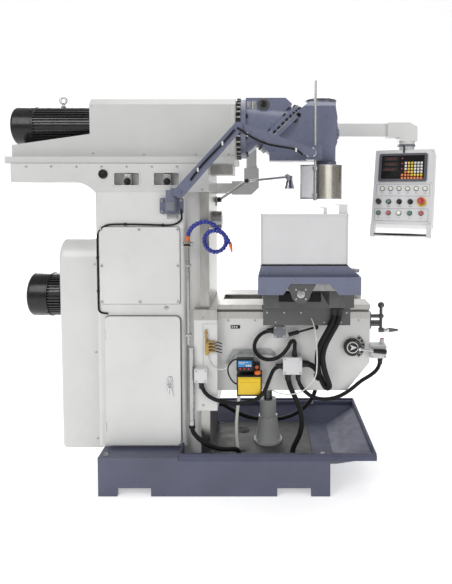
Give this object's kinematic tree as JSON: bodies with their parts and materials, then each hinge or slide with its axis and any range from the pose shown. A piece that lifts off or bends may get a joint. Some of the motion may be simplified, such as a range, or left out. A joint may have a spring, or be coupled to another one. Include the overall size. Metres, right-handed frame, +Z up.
{
  "type": "universal knee milling machine",
  "caption": "Universal knee milling machine: white column with sliding ram, two-axis swivel head, knee, cross saddle, long T-slotted table and swinging control panel.",
  "frame": {"origin": "middle of the base casting's underside, on the floor", "axes": "+X from the column towards the front of the knee, +Y along the table away from the cabinet door side, +Z up"},
  "size_m": [2.2673, 1.5192, 1.974],
  "materials": {
    "white_paint": "satin",
    "blue_grey_paint": "satin",
    "base_paint": "satin",
    "dark_casting_paint": "satin",
    "machined_iron": "ground",
    "table_iron": "ground",
    "bright_steel": "turned",
    "chrome": "polished",
    "black_paint": "gloss",
    "black_rubber": "matt",
    "blue_plastic": "gloss",
    "yellow_plastic": "gloss",
    "red_plastic": "gloss",
    "green_plastic": "gloss",
    "white_plastic": "gloss",
    "black_plastic": "matt",
    "splash_steel": "satin"
  },
  "bodies": {
    "frame": {"base_casting": "base_paint", "coolant_tray": "base_paint", "sump_cover": "dark_casting_paint", "screw_pedestal": "white_paint", "column_casting": "white_paint", "top_housing": "white_paint", "electrical_cover": "white_paint", "belt_cover": "white_paint", "spindle_motor": "black_paint", "drive_belts": "black_rubber", "cable_arm_bracket": "blue_grey_paint", "pendant_bracket": "white_paint", "column_fittings": "bright_steel", "coolant_hoses": "blue_plastic"},
    "door": {"cabinet_door": "white_paint"},
    "motor_drive": {"motor_pulley": "bright_steel"},
    "input_drive": {"input_shaft": "bright_steel"},
    "spindle_drive": {"horizontal_spindle": "bright_steel"},
    "ram": {"ram_casting": "machined_iron", "ram_cover": "white_paint", "ram_motor": "black_paint"},
    "knuckle": {"head_knuckle": "blue_grey_paint"},
    "head": {"head_body": "blue_grey_paint"},
    "milling_spindle": {"vertical_spindle": "bright_steel"},
    "guard_post": {"guard_rod": "bright_steel"},
    "guard": {"spindle_guard": "bright_steel"},
    "cable_lower": {"cable_link_lower": "blue_grey_paint"},
    "cable_upper": {"cable_link_upper": "blue_grey_paint"},
    "lamp_lower": {"lamp_arm_lower": "chrome"},
    "lamp_upper": {"lamp_arm_upper": "chrome"},
    "pendant": {"pendant_arm": "white_paint"},
    "panel": {"control_panel": "white_paint"},
    "knee": {"knee_casting": "white_paint", "elevating_screw": "bright_steel", "crank_flanges": "machined_iron", "knee_boxes": "white_plastic", "lubricator": "yellow_plastic", "knee_conduits": "black_rubber", "tray_conduits": "black_rubber"},
    "crank": {"feed_crank": "chrome"},
    "feed_handle": {"feed_lever": "black_plastic"},
    "lock_handle": {"lock_lever": "black_plastic"},
    "saddle": {"saddle_casting": "dark_casting_paint", "table_saddle": "dark_casting_paint", "saddle_conduits": "black_rubber"},
    "table": {"work_table": "table_iron", "end_trays": "blue_grey_paint", "screw_brackets": "dark_casting_paint", "splash_plate": "splash_steel"},
    "screw": {"leadscrew": "bright_steel"},
    "speed_knob": {"speed_knob": "black_plastic"},
    "coolant_button": {"coolant_button": "green_plastic"},
    "mode_selector": {"mode_selector": "black_plastic"},
    "axis_selector": {"axis_selector": "black_plastic"},
    "emergency_stop": {"emergency_stop": "red_plastic"},
    "feed_start_button": {"feed_start_button": "green_plastic"},
    "feed_stop_button": {"feed_stop_button": "red_plastic"},
    "rapid_button": {"rapid_button": "white_plastic"},
    "spindle_start_button": {"spindle_start_button": "green_plastic"},
    "spindle_stop_button": {"spindle_stop_button": "red_plastic"}
  },
  "joints": [
    {"name": "knee_lift", "type": "slide", "parent": "frame", "child": "knee", "axis": [0, 0, 1], "range_m": [-0.13, 0.15], "deforming": ["tray_conduits"]},
    {"name": "saddle_cross", "type": "slide", "parent": "knee", "child": "saddle", "axis": [1, 0, 0], "range_m": [-0.2, 0.12], "deforming": ["saddle_conduits"]},
    {"name": "table_travel", "type": "slide", "parent": "saddle", "child": "table", "axis": [0, -1, 0], "range_m": [-0.34, 0.34]},
    {"name": "leadscrew_spin", "type": "hinge", "parent": "table", "child": "screw", "pos_m": [0.383, 0, 1.03], "axis": [0, 1, 0], "continuous": true},
    {"name": "ram_slide", "type": "slide", "parent": "frame", "child": "ram", "axis": [1, 0, 0], "range_m": [-0.12, 0.04]},
    {"name": "head_swivel", "type": "hinge", "parent": "ram", "child": "knuckle", "pos_m": [0.118, 0, 1.757], "axis": [1, 0, 0], "range_deg": [0, 45]},
    {"name": "head_tilt", "type": "hinge", "parent": "knuckle", "child": "head", "pos_m": [0.32, 0, 1.757], "axis": [-0.7071, 0, 0.7071], "range_deg": [-45, 45]},
    {"name": "milling_spindle_spin", "type": "hinge", "parent": "head", "child": "milling_spindle", "pos_m": [0.552, 0, 1.5], "axis": [0, 0, -1], "continuous": true},
    {"name": "guard_lift", "type": "slide", "parent": "head", "child": "guard_post", "axis": [0, 0, 1], "range_m": [-0.06, 0]},
    {"name": "guard_swing", "type": "hinge", "parent": "guard_post", "child": "guard", "pos_m": [0.485, -0.165, 1.48], "axis": [0, 0, -1], "range_deg": [0, 100]},
    {"name": "spindle_spin", "type": "hinge", "parent": "frame", "child": "spindle_drive", "pos_m": [0, 0, 1.29], "axis": [1, 0, 0], "continuous": true},
    {"name": "input_spin", "type": "hinge", "parent": "frame", "child": "input_drive", "pos_m": [-0.5, 0, 1.085], "axis": [1, 0, 0], "continuous": true},
    {"name": "motor_spin", "type": "hinge", "parent": "frame", "child": "motor_drive", "pos_m": [-0.7, 0, 0.9], "axis": [1, 0, 0], "continuous": true},
    {"name": "cabinet_door_swing", "type": "hinge", "parent": "frame", "child": "door", "pos_m": [-0.534, -0.2502, 0.518], "axis": [0, 0, -1], "range_deg": [0, 100]},
    {"name": "cable_arm_shoulder", "type": "hinge", "parent": "frame", "child": "cable_lower", "pos_m": [-0.156, -0.302, 1.436], "axis": [0, -1, 0], "range_deg": [-22, 22]},
    {"name": "cable_arm_elbow", "type": "hinge", "parent": "cable_lower", "child": "cable_upper", "pos_m": [0.115, -0.29, 1.736], "axis": [0, -1, 0], "range_deg": [-38, 38]},
    {"name": "lamp_shoulder", "type": "hinge", "parent": "frame", "child": "lamp_lower", "pos_m": [-0.01, 0.17, 1.392], "axis": [0, -1, 0], "range_deg": [-30, 10]},
    {"name": "lamp_elbow", "type": "hinge", "parent": "lamp_lower", "child": "lamp_upper", "pos_m": [0.14, 0.17, 1.495], "axis": [0, -1, 0], "range_deg": [-50, 12]},
    {"name": "pendant_swing", "type": "hinge", "parent": "frame", "child": "pendant", "pos_m": [0.162, 0.34, 1.57], "axis": [0, 0, 1], "range_deg": [-15, 80]},
    {"name": "panel_swivel", "type": "hinge", "parent": "pendant", "child": "panel", "pos_m": [1.058, 0.34, 1.701], "axis": [0, 0, 1], "range_deg": [-60, 60]},
    {"name": "feed_crank_spin", "type": "hinge", "parent": "knee", "child": "crank", "pos_m": [0.8, 0, 0.782], "axis": [1, 0, 0], "continuous": true},
    {"name": "feed_lever_turn", "type": "hinge", "parent": "knee", "child": "feed_handle", "pos_m": [0.668, -0.24, 0.677], "axis": [0, 1, 0], "range_deg": [-30, 30]},
    {"name": "lock_lever_turn", "type": "hinge", "parent": "knee", "child": "lock_handle", "pos_m": [0.488, -0.225, 0.781], "axis": [0, 1, 0], "range_deg": [-6, 12]},
    {"name": "speed_knob_turn", "type": "hinge", "parent": "panel", "child": "speed_knob", "pos_m": [0.88742, 0.26888, 1.37943], "axis": [0.3774, 0.8891, -0.2588], "range_deg": [-135, 135]},
    {"name": "coolant_button_press", "type": "slide", "parent": "panel", "child": "coolant_button", "axis": [0.3774, 0.8891, -0.2588], "range_m": [0, 0.003], "stiffness_N_per_m": 500, "springref_m": -0.002},
    {"name": "mode_selector_turn", "type": "hinge", "parent": "panel", "child": "mode_selector", "pos_m": [0.99339, 0.2239, 1.37943], "axis": [0.3774, 0.8891, -0.2588], "range_deg": [-45, 45]},
    {"name": "axis_selector_turn", "type": "hinge", "parent": "panel", "child": "axis_selector", "pos_m": [1.04925, 0.20019, 1.37943], "axis": [0.3774, 0.8891, -0.2588], "range_deg": [-45, 45]},
    {"name": "emergency_stop_press", "type": "slide", "parent": "panel", "child": "emergency_stop", "axis": [0.3774, 0.8891, -0.2588], "range_m": [0, 0.004], "stiffness_N_per_m": 900, "springref_m": -0.003},
    {"name": "feed_start_button_press", "type": "slide", "parent": "panel", "child": "feed_start_button", "axis": [0.3774, 0.8891, -0.2588], "range_m": [0, 0.003], "stiffness_N_per_m": 500, "springref_m": -0.002},
    {"name": "feed_stop_button_press", "type": "slide", "parent": "panel", "child": "feed_stop_button", "axis": [0.3774, 0.8891, -0.2588], "range_m": [0, 0.003], "stiffness_N_per_m": 500, "springref_m": -0.002},
    {"name": "rapid_button_press", "type": "slide", "parent": "panel", "child": "rapid_button", "axis": [0.3774, 0.8891, -0.2588], "range_m": [0, 0.003], "stiffness_N_per_m": 500, "springref_m": -0.002},
    {"name": "spindle_start_button_press", "type": "slide", "parent": "panel", "child": "spindle_start_button", "axis": [0.3774, 0.8891, -0.2588], "range_m": [0, 0.003], "stiffness_N_per_m": 500, "springref_m": -0.002},
    {"name": "spindle_stop_button_press", "type": "slide", "parent": "panel", "child": "spindle_stop_button", "axis": [0.3774, 0.8891, -0.2588], "range_m": [0, 0.003], "stiffness_N_per_m": 500, "springref_m": -0.002}
  ],
  "couplings": [
    {"joint": "input_spin", "follows": "spindle_spin", "ratio": -1.1579},
    {"joint": "motor_spin", "follows": "spindle_spin", "ratio": -1.8526},
    {"joint": "cable_arm_shoulder", "follows": "ram_slide", "rad_per_m": -2.4},
    {"joint": "cable_arm_elbow", "follows": "ram_slide", "rad_per_m": 4.2},
    {"joint": "leadscrew_spin", "follows": "table_travel", "rad_per_m": 1047.2}
  ]
}
